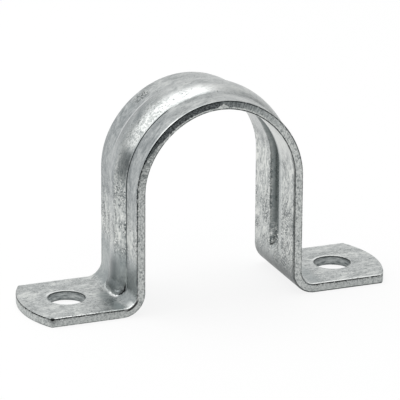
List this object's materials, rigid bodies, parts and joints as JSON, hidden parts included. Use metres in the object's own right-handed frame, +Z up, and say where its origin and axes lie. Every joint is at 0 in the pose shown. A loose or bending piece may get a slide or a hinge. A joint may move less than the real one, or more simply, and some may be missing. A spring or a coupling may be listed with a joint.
{
  "type": "conduit clip",
  "caption": "Pressed steel strap that holds a conduit down: an arch on straight legs with a stiffening bead, turned out into flat feet with screw holes.",
  "frame": {"origin": "on the mounting surface, midway between the feet and midway across the strip", "axes": "+X from foot to foot, +Y along the conduit, +Z up from the mounting surface through the crown"},
  "size_m": [0.072, 0.0192, 0.0414],
  "materials": {
    "galvanised_steel": "hot-dip galvanised, matt grey with fine mottling"
  },
  "bodies": {
    "root": {"clip_strap": "galvanised_steel"}
  },
  "joints": []
}
